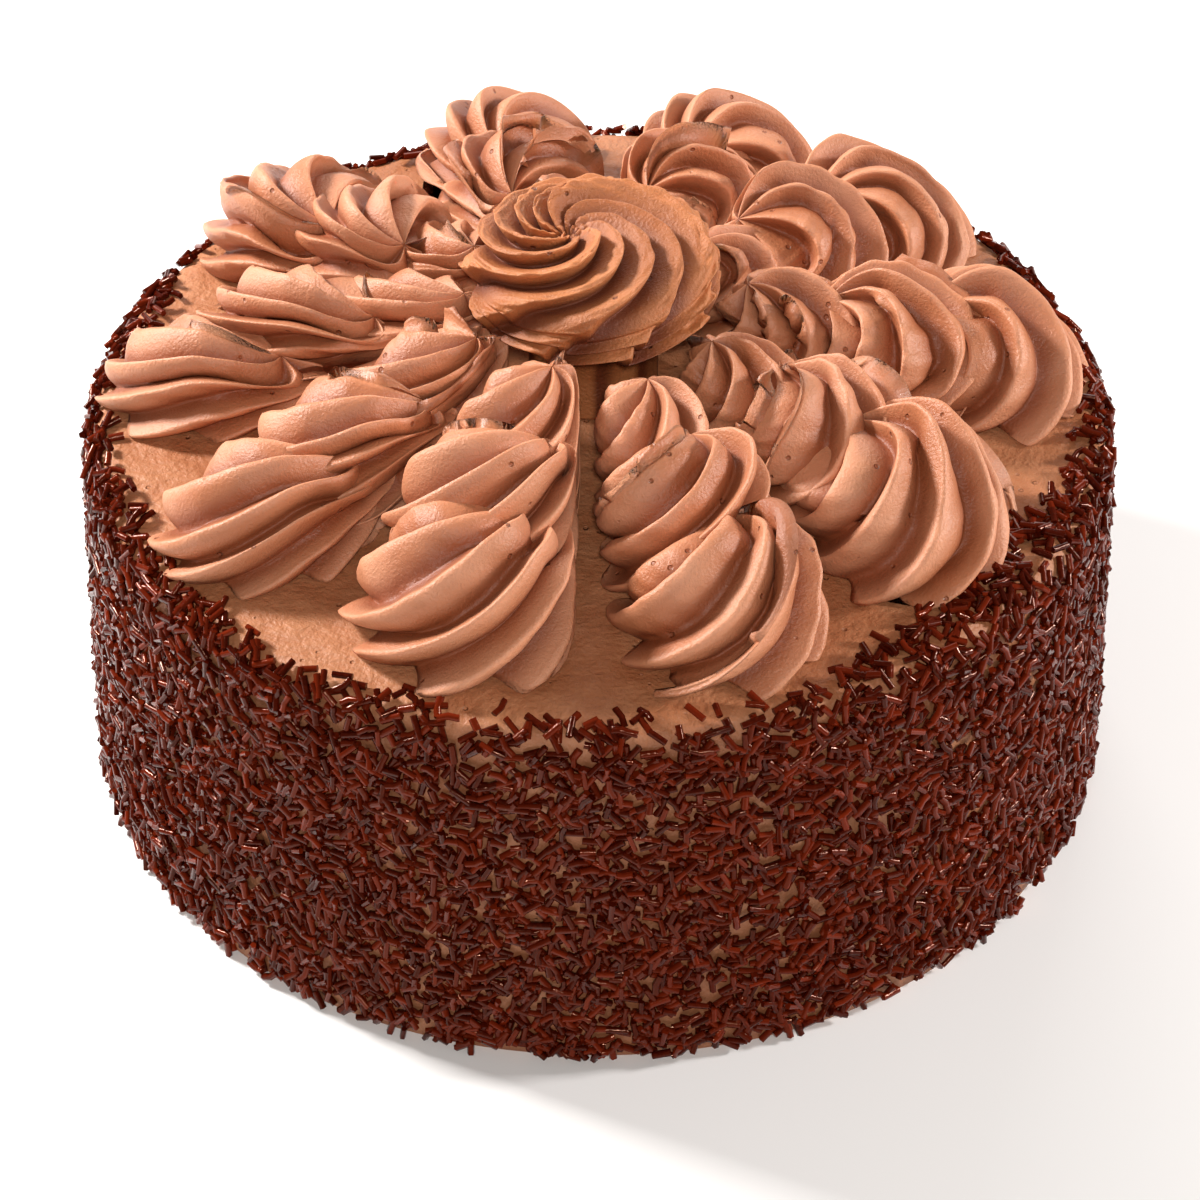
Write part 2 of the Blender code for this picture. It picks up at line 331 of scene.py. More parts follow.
class Finishes:
    """Builds the node groups that finishes share, and each material from its finish."""

    def __init__(self) -> None:
        """Makes the shared groups."""
        self.pores = self._pore_group()

    def _pore_group(self) -> bpy.types.ShaderNodeTree:
        """Whipped grain: fine lumps, sparse air pits and a slow change of tone."""
        tree = bpy.data.node_groups.new("whipped_grain", "ShaderNodeTree")
        for name, default in (("Grain Scale", 1700.0), ("Pit Scale", 320.0), ("Pit Share", 0.14)):
            socket = tree.interface.new_socket(name, in_out="INPUT", socket_type="NodeSocketFloat")
            socket.default_value = default
        for name in ("Height", "Pits", "Tone"):
            tree.interface.new_socket(name, in_out="OUTPUT", socket_type="NodeSocketFloat")
        graph = NodeGraph(tree)
        given = graph.add("NodeGroupInput")
        out = graph.add("NodeGroupOutput")
        place = graph.add("ShaderNodeTexCoord").outputs["Object"]
        grain = graph.noise(place, given.outputs["Grain Scale"], 3.0, 0.6)
        pits = graph.add("ShaderNodeTexVoronoi", feature="F1")
        graph.link(place, pits.inputs["Vector"])
        graph.link(given.outputs["Pit Scale"], pits.inputs["Scale"])
        hole = graph.ramp(pits.outputs["Distance"], 0.20, 0.10)
        chance = graph.add("ShaderNodeSeparateColor")
        graph.link(pits.outputs["Color"], chance.inputs["Color"])
        rare = graph.math("LESS_THAN", chance.outputs["Red"], given.outputs["Pit Share"])
        pit = graph.math("MULTIPLY", hole, rare)
        lumps = graph.noise(place, 210.0, 2.0)
        height = graph.math("ADD", grain.outputs["Fac"], graph.math("MULTIPLY", lumps.outputs["Fac"], 1.4))
        graph.link(graph.math("SUBTRACT", height, graph.math("MULTIPLY", pit, 1.6)), out.inputs["Height"])
        graph.link(pit, out.inputs["Pits"])
        slow = graph.noise(place, 46.0, 2.0)
        graph.link(graph.ramp(slow.outputs["Fac"], 0.3, 0.7), out.inputs["Tone"])
        return tree

    def _start(self, name: str) -> tuple[bpy.types.Material, NodeGraph, bpy.types.Node]:
        """A new material, a helper on its tree and its Principled BSDF."""
        made = bpy.data.materials.new(name)
        made.use_nodes = True
        graph = NodeGraph(made.node_tree)
        return made, graph, made.node_tree.nodes["Principled BSDF"]

    def _bump(self, graph: NodeGraph, height: object, depth: float, shader: bpy.types.Node) -> None:
        """Feeds a height to the shader's normal, this many metres deep."""
        bump = graph.add("ShaderNodeBump")
        bump.inputs["Strength"].default_value = 1.0
        bump.inputs["Distance"].default_value = depth
        graph.link(height, bump.inputs["Height"])
        graph.link(bump.outputs["Normal"], shader.inputs["Normal"])

    def _bleed(self, shader: bpy.types.Node, finish: CreamFinish | IcingFinish) -> None:
        """Lets light bleed through the surface as far as the finish says."""
        shader.inputs["Subsurface Weight"].default_value = finish.subsurface
        shader.inputs["Subsurface Radius"].default_value = finish.bleed
        shader.inputs["Subsurface Scale"].default_value = finish.bleed_depth

    def cream(self, finish: CreamFinish) -> bpy.types.Material:
        """Piped cream: a painted highlight, paler, along the crests' edges, and painted shade, deeper and
        redder, down in the flutes and in the air pits.

        Args:
            finish: its colours and surface.

        Returns:
            The material.
        """
        made, graph, shader = self._start(finish.name)
        grain = graph.add("ShaderNodeGroup", node_tree=self.pores)
        crest = graph.add("ShaderNodeAttribute", attribute_name="crest").outputs["Fac"]
        tone = graph.blend(grain.outputs["Tone"], finish.deep, finish.light)
        # Painted shade: the flutes take a darker, redder colour, strongest deep down
        flute_shade = graph.ramp(crest, 0.80, 0.05)
        body = graph.blend(graph.math("MULTIPLY", flute_shade, finish.flute_shade_share), tone, finish.flute_shade)
        # Painted highlight: the crests' edges are lightened
        edge = graph.math("MULTIPLY", graph.ramp(crest, 0.80, 0.98), finish.crest_highlight_share)
        highlighted = graph.blend(edge, body, tuple(min(1.0, c * finish.crest_highlight_gain) for c in finish.light))
        # Painted shade: the air pits take the flute's dark colour
        pit = graph.math("MULTIPLY", grain.outputs["Pits"], finish.pit_shade_share)
        graph.link(graph.blend(pit, highlighted, finish.flute_shade), shader.inputs["Base Color"])
        uneven = graph.math("MULTIPLY", grain.outputs["Tone"], 0.10)
        graph.link(graph.math("ADD", uneven, finish.roughness - 0.05), shader.inputs["Roughness"])
        self._bleed(shader, finish)
        self._bump(graph, grain.outputs["Height"], 0.1 * MM * finish.grain, shader)
        return made

    def icing(self, finish: IcingFinish) -> bpy.types.Material:
        """Icing spread with a knife: streaks round the cake, smears and air pits, with painted shade in the
        pits and on the side under the sprinkles.

        Args:
            finish: its colours and surface.

        Returns:
            The material.
        """
        made, graph, shader = self._start(finish.name)
        grain = graph.add("ShaderNodeGroup", node_tree=self.pores)
        grain.inputs["Grain Scale"].default_value = 1100.0
        grain.inputs["Pit Scale"].default_value = 340.0
        grain.inputs["Pit Share"].default_value = 0.22
        place = graph.add("ShaderNodeTexCoord").outputs["Object"]
        bent = graph.noise(place, 30.0, 2.0)
        split = graph.add("ShaderNodeSeparateXYZ")
        graph.link(place, split.inputs["Vector"])
        squares = graph.math(
            "ADD", graph.math("POWER", split.outputs["X"], 2.0), graph.math("POWER", split.outputs["Y"], 2.0)
        )
        radius = graph.math("SQRT", squares, 0.0)
        drift = graph.math("ADD", radius, graph.math("MULTIPLY", bent.outputs["Fac"], 0.012))
        streaks = graph.add("ShaderNodeTexNoise", noise_dimensions="1D")
        streaks.inputs["Scale"].default_value = 520.0
        streaks.inputs["Detail"].default_value = 3.0
        graph.link(drift, streaks.inputs["W"])
        smears = graph.noise(place, 70.0, 4.0, 0.65)
        tone = graph.ramp(smears.outputs["Fac"], 0.35, 0.68)
        body = graph.blend(tone, finish.deep, finish.light)
        streak = graph.math("MULTIPLY", graph.ramp(streaks.outputs["Fac"], 0.52, 0.75), finish.streak_share)
        streaked = graph.blend(streak, body, finish.deep)
        # Painted shade: the air pits take the deep tone
        pit = graph.math("MULTIPLY", grain.outputs["Pits"], finish.pit_shade_share)
        pitted = graph.blend(pit, streaked, finish.deep)
        # Painted shade on the side under the sprinkles, full a little below the top
        start, full = (TOP_LEVEL - depth for depth in finish.rod_shade_depths)
        under = graph.math("MULTIPLY", graph.ramp(split.outputs["Z"], start, full), finish.rod_shade_share)
        graph.link(graph.blend(under, pitted, finish.rod_shade), shader.inputs["Base Color"])
        shader.inputs["Roughness"].default_value = finish.roughness
        self._bleed(shader, finish)
        fine = graph.math("MULTIPLY", streaks.outputs["Fac"], 0.25)
        broad = graph.math("MULTIPLY", smears.outputs["Fac"], 4.0)
        height = graph.math("ADD", graph.math("ADD", grain.outputs["Height"], fine), broad)
        self._bump(graph, height, finish.relief, shader)
        return made

    def sprinkle(self, finish: SprinkleFinish) -> bpy.types.Material:
        """Glossy sprinkles, each with its own tone.

        Args:
            finish: its colours and surface.

        Returns:
            The material.
        """
        made, graph, shader = self._start(finish.name)
        tone = graph.add("ShaderNodeAttribute", attribute_name="tone").outputs["Fac"]
        place = graph.add("ShaderNodeTexCoord").outputs["Object"]
        fleck = graph.noise(place, 1500.0, 2.0)
        share = graph.math("MULTIPLY", graph.math("POWER", tone, 1.6), 0.9)
        body = graph.blend(share, finish.dark, finish.bright)
        flecked = graph.math("MULTIPLY", graph.ramp(fleck.outputs["Fac"], 0.45, 0.75), 0.25)
        graph.link(graph.blend(flecked, body, finish.bright), shader.inputs["Base Color"])
        rough = graph.math("ADD", graph.math("MULTIPLY", fleck.outputs["Fac"], 0.16), finish.roughness - 0.06)
        graph.link(rough, shader.inputs["Roughness"])
        shader.inputs["Specular IOR Level"].default_value = finish.sheen
        shader.inputs["Specular Tint"].default_value = (*finish.sheen_tint, 1.0)
        self._bump(graph, fleck.outputs["Fac"], 0.05 * MM, shader)
        return made

    def floor(self) -> bpy.types.Material:
        """A plain pale floor."""
        made, graph, shader = self._start("pale_floor")
        place = graph.add("ShaderNodeTexCoord").outputs["Object"]
        soft = graph.noise(place, 3.0, 2.0)
        pale = graph.blend(soft.outputs["Fac"], (0.86, 0.86, 0.86), (0.90, 0.90, 0.90))
        graph.link(pale, shader.inputs["Base Color"])
        shader.inputs["Roughness"].default_value = 0.8
        return made


@dataclass(frozen=True)
class SwirlSize:
    """One size of piped swirl, in metres: a ridged head that falls to a low tail towards the cake's axis.

    The peak that its ridges run to is drawn back and to the side. The tail's fall is the share of the height
    that it loses. The swirl leans back by the tilt, in degrees, about the middle of its foot, which is at the
    base height. The dip is how far its skin runs on below its widest level, in degrees of the dome's arc.
    """

    ridges: int
    half_width: float
    reach: float
    height: float
    peak_back: float
    peak_side: float
    tail_fall: float
    base: float
    tilt: float
    dip: float


@dataclass(frozen=True)
class PetalPlan:
    """One row of three swirls, from the rim inwards.

    The azimuths of its heads are in degrees and their distances from the axis in millimetres. The scales are
    size factors, and stretch lengthens each of its swirls.
    """

    azimuths: tuple[float, float, float]
    distances: tuple[float, float, float]
    scales: tuple[float, float, float]
    stretch: float = 1.0


@dataclass
class Swirl:
    """One piped swirl: ridges that fan out from its peak and curl clockwise towards its foot."""

    size: SwirlSize
    scale: float
    stretch: float
    seed: int
    per_ridge: int = 18
    stations: int = 64
    ridge_depth: float = 5.0 * MM
    dome_power: float = 2.4
    peak_power: float = 2.0
    # Where the tail starts to fall, and how long it falls for, as shares of the swirl's reach
    tail_start: float = 0.25
    tail_length: float = 1.3
    twist: float = math.radians(112)
    twist_power: float = 1.65
    lean: float = 0.24
    flare: float = 1.4 * MM
    flare_reach: float = 0.14
    # Ridges lie closer on the clockwise side, by this share, about this direction
    bunch: float = 0.12
    bunch_side: float = math.radians(80)
    # What is drawn for each ridge: its height, how soft its crest is, and how far it is shifted
    ridge_heights: tuple[float, float] = (0.72, 1.12)
    crest_softness: tuple[float, ...] = (0.05, 0.09, 0.16, 0.30)
    ridge_shift: float = 0.16
    # How far the hand that pipes wavers, in turn and in width, and how deep the fine ripple is
    waver_turn: float = 0.06
    waver_width: float = 0.03
    ripple_depth: float = 0.25 * MM
    # Share of the width inside which the ridges fade towards the peak
    fade_width: float = 0.45

    def _outline(self) -> tuple[np.ndarray, np.ndarray, np.ndarray]:
        """Width and rise as shares, and the way up from the widest level, at each station."""
        climb = np.linspace(math.radians(self.size.dip), math.pi / 2 - 0.02, self.stations)[:, None]
        power = 2.0 / self.dome_power
        wide = np.cos(climb) ** power
        rise = np.sign(climb) * np.abs(np.sin(climb)) ** power
        length, height = self.size.reach * self.stretch, self.size.height
        steps_up = np.hypot(np.diff(wide[:, 0]) * length, np.diff(rise[:, 0]) * height)
        way = np.concatenate([[0.0], np.cumsum(steps_up)])
        level = np.interp(0.0, climb[:, 0], way)
        return wide, rise, ((way - level) / (way[-1] - level))[:, None]

    def rings(self) -> tuple[np.ndarray, np.ndarray]:
        """The swirl's skin in its own frame: x outwards from the axis, y anticlockwise, z up.

        Returns:
            Rings of points from the foot to the peak, and the ridge height at each.
        """
        draw = random.Random(self.seed)
        size, scale, ridges = self.size, self.scale, self.size.ridges
        phase = np.arange(ridges * self.per_ridge) / self.per_ridge
        ridge = np.round(phase).astype(int) % ridges
        tall = np.array([draw.uniform(*self.ridge_heights) for _ in range(ridges)])[ridge][None, :]
        soft = np.array([draw.choice(self.crest_softness) for _ in range(ridges)])[ridge]
        shift = np.array([draw.uniform(-self.ridge_shift, self.ridge_shift) for _ in range(ridges)])[ridge]
        crest = ridge_shape(-phase, soft)[None, :]
        turn = 2 * math.pi * (phase + shift * crest[0])[None, :] / ridges
        wide, rise, way = self._outline()
        wander = Waves(self.seed + 7, 5, 1.6, 2).at(way, turn)
        ripple = Waves(self.seed + 11, 6, 9.0, ridges).at(way, turn)
        leaning = 2 * math.pi / ridges * self.lean * crest
        even = turn - leaning - self.twist * (1.0 - way) ** self.twist_power + self.waver_turn * wander
        angle = even - self.bunch * np.sin(even + self.bunch_side)
        grown = wide * (1.0 + self.waver_width * wander)
        drawn = np.clip(rise, 0.0, 1.0) ** self.peak_power
        length = size.reach * scale * self.stretch
        out_way = length * grown * np.cos(angle) - size.peak_back * scale * self.stretch * drawn
        behind = (self.tail_start * length - out_way) / (self.tail_length * length)
        fall = 1.0 - size.tail_fall * smooth_step(behind)
        side_way = size.half_width * scale * grown * np.sin(angle) + size.peak_side * scale * drawn
        skin = np.stack([out_way, side_way, size.height * scale * rise * fall], axis=2)
        normal = np.cross(np.roll(skin, -1, axis=1) - np.roll(skin, 1, axis=1), np.gradient(skin, axis=0))
        normal /= np.maximum(np.linalg.norm(normal, axis=2, keepdims=True), 1e-12)
        faded = np.minimum(1.0, wide / self.fade_width)
        deep = self.ridge_depth * scale * faded * (1.0 - crest * tall) - self.ripple_depth * ripple * wide
        lip = np.exp(-((way / self.flare_reach) ** 2))
        out = np.stack([np.cos(angle), np.sin(angle), 0 * angle], axis=2)
        points = skin - normal * deep[..., None] + out * (self.flare * scale * crest * lip)[..., None]
        tilt = math.radians(size.tilt)
        turned = points.copy()
        turned[..., 0] = points[..., 0] * math.cos(tilt) - points[..., 2] * math.sin(tilt)
        turned[..., 2] = points[..., 0] * math.sin(tilt) + points[..., 2] * math.cos(tilt) + size.base
        return turned, np.broadcast_to(crest, points.shape[:2])


@dataclass
class Petals:
    """Ten rows of swirls round the cake, each pressed clear of its neighbours."""

    sizes: tuple[SwirlSize, ...] = (
        SwirlSize(8, 19.0 * MM, 18.5 * MM, 24.5 * MM, 13.0 * MM, 5.0 * MM, 0.55, 1.5 * MM, 0.0, -15.0),
        SwirlSize(8, 16.5 * MM, 16.5 * MM, 20.0 * MM, 11.0 * MM, 5.0 * MM, 0.50, 8.5 * MM, 8.0, -38.0),
        SwirlSize(7, 14.0 * MM, 15.0 * MM, 18.0 * MM, 8.0 * MM, 2.0 * MM, 0.15, 8.5 * MM, 8.0, -40.0),
    )
    plans: tuple[PetalPlan, ...] = (
        PetalPlan((250.3, 248, 246.5), (72.5, 55.5, 38), (1.12, 1.12, 1.12)),
        PetalPlan((287, 286.5, 285.5), (74, 54.5, 37), (1.02, 1.04, 0.95)),
        PetalPlan((322, 325, 325), (70, 50.5, 34), (1.12, 1.0, 0.9)),
        PetalPlan((363, 360, 364), (76.5, 57.5, 39), (1.0, 1.04, 1.0)),
        PetalPlan((401, 402.5, 403), (76, 55.5, 37), (1.04, 1.04, 0.85)),
        PetalPlan((429.3, 431, 431), (79.5, 57, 38), (1.0, 0.98, 0.85)),
        PetalPlan((463.6, 466, 466), (79, 58, 39), (1.0, 1.0, 0.9)),
        PetalPlan((501.5, 502, 498.5), (78.5, 57.5, 40), (1.10, 1.05, 0.9)),
        PetalPlan((540, 531, 528), (76, 58, 38), (0.80, 0.86, 0.88), 1.45),
        PetalPlan((575, 573, 565), (74, 56, 38), (0.95, 0.96, 0.98), 1.25),
    )
    # Where the walls between rows are measured, from the axis
    wall_outer: float = 75.0 * MM
    wall_inner: float = 34.0 * MM
    # How far from a wall a row starts to press flat, how near it comes, and the gap under its feet
    squeeze: float = 5.0 * MM
    clearance: float = 0.2 * MM
    stand: float = 0.05 * MM

    def _wall(self, low: PetalPlan, high: PetalPlan, turn: float) -> tuple[np.ndarray, np.ndarray]:
        """The upright plane between two rows.

        Args:
            low: the row at the lower azimuth.
            high: the row at the higher azimuth.
            turn: degrees added to the lower row, where the count starts again.

        Returns:
            A place on the plane and its direction, in plan.
        """
        outer_side = math.radians((low.azimuths[0] + turn + high.azimuths[0]) / 2)
        inner_side = math.radians((low.azimuths[2] + turn + high.azimuths[2]) / 2)
        outer = np.array(polar(self.wall_outer, outer_side))
        inner = np.array(polar(self.wall_inner, inner_side))
        along = outer - inner
        return outer, along / np.linalg.norm(along)

    def _pressed(self, points: np.ndarray, wall: tuple[np.ndarray, np.ndarray], side: int) -> np.ndarray:
        """The points pressed back from a wall so that they stay on their own side of it.

        Args:
            points: array of points, changed in plan only.
            wall: a place on the plane and its direction.
            side: 1 where the points lie anticlockwise of the wall, else -1.

        Returns:
            The points after pressing.
        """
        place, along = wall
        normal = np.array([-along[1], along[0]]) * side
        away = (points[..., :2] - place) @ normal
        room = self.squeeze - self.clearance
        held = self.clearance + room * np.exp(np.minimum(0.0, away - self.squeeze) / room)
        moved = np.where(away < self.squeeze, held, away)
        pressed = points.copy()
        pressed[..., :2] += (moved - away)[..., None] * normal
        return pressed

    def _swirl_mesh(self, index: int, level: int) -> bpy.types.Mesh:
        """One swirl of a row in its place on the cake, cut flat where it stands."""
        plan = self.plans[index]
        count = len(self.plans)
        swirl = Swirl(self.sizes[level], plan.scales[level], plan.stretch, seed=100 * index + 17 * level + 3)
        points, crest = swirl.rings()
        spin = math.radians(plan.azimuths[level])
        turn = np.array([[math.cos(spin), -math.sin(spin)], [math.sin(spin), math.cos(spin)]])
        placed = points.copy()
        placed[..., :2] = points[..., :2] @ turn.T + np.array(polar(plan.distances[level] * MM, spin))
        placed[..., 2] += TOP_LEVEL
        before, after = self.plans[index - 1], self.plans[(index + 1) % count]
        low = self._wall(before, plan, -360.0 if index == 0 else 0.0)
        high = self._wall(plan, after, 0.0) if index < count - 1 else self._wall(after, plan, 360.0)
        placed = self._pressed(self._pressed(placed, low, 1), high, -1)
        mesh = mesh_from_rings(f"swirl_{index}_{level}", placed, (True, True))
        store(mesh, "crest", crest)
        return self._cut(mesh, TOP_LEVEL + self.stand)

    def _cut(self, mesh: bpy.types.Mesh, level: float) -> bpy.types.Mesh:
        """Cuts away all below this level, and closes the mesh there."""
        work = bmesh.new()
        work.from_mesh(mesh)
        everything = [*work.verts, *work.edges, *work.faces]
        bmesh.ops.bisect_plane(
            work, geom=everything, plane_co=(0, 0, level), plane_no=(0, 0, 1), clear_inner=True, dist=1e-7
        )
        rim = [edge for edge in work.edges if edge.is_boundary]
        bmesh.ops.holes_fill(work, edges=rim, sides=0)
        bmesh.ops.recalc_face_normals(work, faces=work.faces)
        if work.calc_volume(signed=True) < 0:
            bmesh.ops.reverse_faces(work, faces=work.faces)
        work.to_mesh(mesh)
        work.free()
        return mesh

    def build(self, material: bpy.types.Material) -> list[bpy.types.Object]:
        """Makes each row one piece.

        Args:
            material: the cream.

        Returns:
            The pieces, in the order of the rows.
        """
        pieces = []
        for index in range(len(self.plans)):
            joined = bmesh.new()
            for level in range(len(self.sizes)):
                mesh = self._swirl_mesh(index, level)
                joined.from_mesh(mesh)
                bpy.data.meshes.remove(mesh)
            mesh = bpy.data.meshes.new(f"petal_cream_{index + 1:02d}")
            joined.to_mesh(mesh)
            joined.free()
            pieces.append(place_piece(mesh.name, mesh, material))
        return pieces


@dataclass
class Rosette:
    """The centre rosette: blades that wind out and down in steps from a torn middle."""

    centre: tuple[float, float] = (-1.0 * MM, 4.2 * MM)
    # How far the torn middle lies from the centre of the foot
    middle: tuple[float, float] = (-4.6 * MM, 0.6 * MM)
    ridges: int = 9
    per_ridge: int = 30
    stations: int = 170
    twist: float = math.radians(205)
    lean: float = 0.24
    # Share of a step that climbs gently; the rest falls away
    climb: float = 0.80
    climb_power: float = 1.4
    drop_power: float = 0.7
    step: float = 4.4 * MM
    # What is drawn for each blade
    seed: int = 41
    blade_heights: tuple[float, float] = (0.70, 1.15)
    # Share of a blade's height above which its lip is torn, and how far, out and up
    lip_start: float = 0.6
    torn_share: float = 0.014
    torn_rise: float = 0.30 * MM
    # How far the rim and the level waver
    waver_share: float = 0.03
    waver_rise: float = 0.4 * MM
    # Radius inside which the steps fade, and the height and reach of the crumbs round the middle
    fade_radius: float = 9.0 * MM
    crumb_rise: float = 0.6 * MM
    crumb_radius: float = 4.0 * MM
    # Outline from the foot up: radius, height, ridge depth as a share of the radius, and share of the twist
    outline: tuple[tuple[float, float, float, float], ...] = (
        (12.5 * MM, 0.0, 0.0, 0.0),
        (13.5 * MM, 13.0 * MM, 0.0, 0.0),
        (19.0 * MM, 19.0 * MM, 0.06, 0.03),
        (24.8 * MM, 21.6 * MM, 0.12, 0.06),
        (22.6 * MM, 23.0 * MM, 0.12, 0.08),
        (24.8 * MM, 24.4 * MM, 0.13, 0.10),
        (23.4 * MM, 26.0 * MM, 0.13, 0.13),
        (24.4 * MM, 27.6 * MM, 0.13, 0.16),
        (23.0 * MM, 31.2 * MM, 0.14, 0.22),
        (18.0 * MM, 34.2 * MM, 0.15, 0.42),
        (11.0 * MM, 35.8 * MM, 0.18, 0.66),
        (5.0 * MM, 35.6 * MM, 0.24, 0.88),
        (0.8 * MM, 33.8 * MM, 0.30, 1.0),
    )

    def _profile(self) -> np.ndarray:
        """The outline's values at each station, along a smooth curve through its points."""
        knots = np.array(self.outline)
        steps = np.linalg.norm(np.diff(knots[:, :2], axis=0), axis=1)
        lengths = np.concatenate([[0.0], np.cumsum(np.sqrt(steps))])
        where = np.linspace(0.0, lengths[-1], self.stations)
        slopes = np.gradient(knots, lengths, axis=0)
        index = np.clip(np.searchsorted(lengths, where, side="right") - 1, 0, len(knots) - 2)
        gap = (lengths[index + 1] - lengths[index])[:, None]
        share = (where - lengths[index])[:, None] / gap
        start, end = knots[index], knots[index + 1]
        out, into = slopes[index] * gap, slopes[index + 1] * gap
        return (
            (2 * share**3 - 3 * share**2 + 1) * start
            + (share**3 - 2 * share**2 + share) * out
            + (3 * share**2 - 2 * share**3) * end
            + (share**3 - share**2) * into
        )

    def build(self, material: bpy.types.Material) -> bpy.types.Object:
        """Makes the rosette.

        Args:
            material: the cream.

        Returns:
            The piece.
        """
        profile = self._profile()
        radius, height, depth, turned = (profile[:, i][:, None] for i in range(4))
        draw = random.Random(self.seed)
        phase = np.arange(self.ridges * self.per_ridge) / self.per_ridge
        ridge = np.floor(phase).astype(int) % self.ridges
        tall = np.array([draw.uniform(*self.blade_heights) for _ in range(self.ridges)])[ridge]
        across = phase - np.floor(phase)
        rising = np.sin(math.pi / 2 * np.clip(across / self.climb, 0.0, 1.0)) ** self.climb_power
        falling = np.clip((1.0 - across) / (1.0 - self.climb), 0.0, 1.0) ** self.drop_power
        crest = (np.where(across < self.climb, rising, falling) * tall)[None, :]
        turn = 2 * math.pi * phase[None, :] / self.ridges
        place = np.linspace(0.0, 1.0, self.stations)[:, None]
        wander = Waves(seed=5, count=6, fastest=2.0, rounds=3).at(place, turn)
        torn = Waves(seed=9, count=14, fastest=34.0, rounds=40).at(place, turn)
        crumbs = Waves(seed=21, count=12, fastest=60.0, rounds=7).at(place, turn)
        lip = np.clip(crest - self.lip_start, 0.0, 1.0) / (1.0 - self.lip_start)
        cut = np.minimum(1.0, depth * 8)
        lean = 2 * math.pi / self.ridges * self.lean * crest * cut
        angle = turn + lean - self.twist * (1.0 - turned)
        share = 1.0 - depth * (1.0 - crest) + cut * (self.waver_share * wander + self.torn_share * torn * lip)
        reach = radius * share
        fading = np.minimum(1.0, radius / self.fade_radius)
        lift = cut * fading * ((crest - self.lip_start) * self.step + self.torn_rise * torn * lip)
        crumbling = self.crumb_rise * crumbs * np.exp(-((radius / self.crumb_radius) ** 2))
        level = TOP_LEVEL + height + lift + (self.waver_rise * wander + crumbling) * cut
        towards = smooth_step(turned * 1.1)
        points = np.stack(
            [
                self.centre[0] + self.middle[0] * towards + reach * np.cos(angle),
                self.centre[1] + self.middle[1] * towards + reach * np.sin(angle),
                level,
            ],
            axis=2,
        )
        mesh = mesh_from_rings(Piece.ROSETTE.value, points, (False, True))
        store(mesh, "crest", np.broadcast_to(crest, points.shape[:2]))
        return place_piece(Piece.ROSETTE.value, mesh, material)


@dataclass
class IcedBody:
    """The iced body: a slightly tapered drum with a soft shoulder and a hand-spread top."""

    base_radius: float = 102.2 * MM
    top_radius: float = 98.6 * MM
    shoulder: float = 5.0 * MM
    foot_round: float = 1.2 * MM
    segments: int = 256
    side_rings: int = 20
    shoulder_rings: int = 8
    top_rings: int = 44
    # How far the top swells, is marked by the knife and lies below the swirls' feet, and the side swells
    top_swell: float = 0.22 * MM
    knife_marks: float = 0.10 * MM
    top_sink: float = 0.45 * MM
    side_swell: float = 0.25 * MM

    def side_radius(self, height: float) -> float:
        """Radius of the drum at a height up its side."""
        share = (height - self.foot_round) / (TOP_LEVEL - self.shoulder - self.foot_round)
        return self.base_radius + (self.top_radius - self.base_radius) * max(0.0, min(1.0, share))

    def outline(self) -> list[tuple[float, float]]:
        """Radius and height from the foot to near the middle of the top."""
        points = [(self.base_radius - self.foot_round, 0.0)]
        rise = TOP_LEVEL - self.shoulder - self.foot_round
        for i in range(self.side_rings):
            height = self.foot_round + rise * i / self.side_rings
            points.append((self.side_radius(height), height))
        for i in range(self.shoulder_rings):
            angle = math.pi / 2 * i / self.shoulder_rings
            points.append(
                (
                    self.top_radius - self.shoulder * (1 - math.cos(angle)),
                    TOP_LEVEL - self.shoulder * (1 - math.sin(angle)),
                )
            )
        flat = self.top_radius - self.shoulder
        points.extend((flat * (1 - i / self.top_rings), TOP_LEVEL) for i in range(self.top_rings))
        return points

    def build(self, material: bpy.types.Material) -> bpy.types.Object:
        """Makes the body.

        Args:
            material: the icing.

        Returns:
            The piece.
        """
        outline = np.array(self.outline())
        turn = np.arange(self.segments)[None, :] * 2 * math.pi / self.segments
        radius, height = outline[:, 0][:, None], outline[:, 1][:, None]
        swell = Waves(seed=3, count=8, fastest=3.0, rounds=5).at(radius / self.base_radius, turn)
        knife = Waves(seed=8, count=10, fastest=16.0, rounds=3).at(radius / self.base_radius, turn)
        bulge = Waves(seed=6, count=6, fastest=2.0, rounds=6).at(height / TOP_LEVEL, turn)
        on_top = smooth_step((height - TOP_LEVEL + 2 * MM) / (2 * MM)) * smooth_step(radius / (20 * MM))
        level = height + on_top * (self.top_swell * swell + self.knife_marks * knife - self.top_sink)
        wide = radius + self.side_swell * bulge * (height > 0)
        points = np.stack([wide * np.cos(turn), wide * np.sin(turn), level + 0 * turn], axis=2)
        mesh = mesh_from_rings(Piece.ICING.value, points, (False, True))
        return place_piece(Piece.ICING.value, mesh, material)


@dataclass(frozen=True)
class RodSize:
    """One kind of sprinkle: how long and thick, how bent, and how it lies on the skin.

    Lengths, radius, bend and the lift off the skin are in millimetres, the tilt is in radians, and the
    density is for each square metre. A straight rod is drawn through 4 points and a bent one through 5.
    """

    piece: Piece
    length: tuple[float, float]
    radius: float
    bend: float
    points: int
    density: float
    lift: tuple[float, float]
    tilt: float
    seed: int
    sides: int = 5
    # Length of a round end as a share of the radius, and its width as a share of the middle's
    end_length: float = 0.55
    end_width: float = 0.58


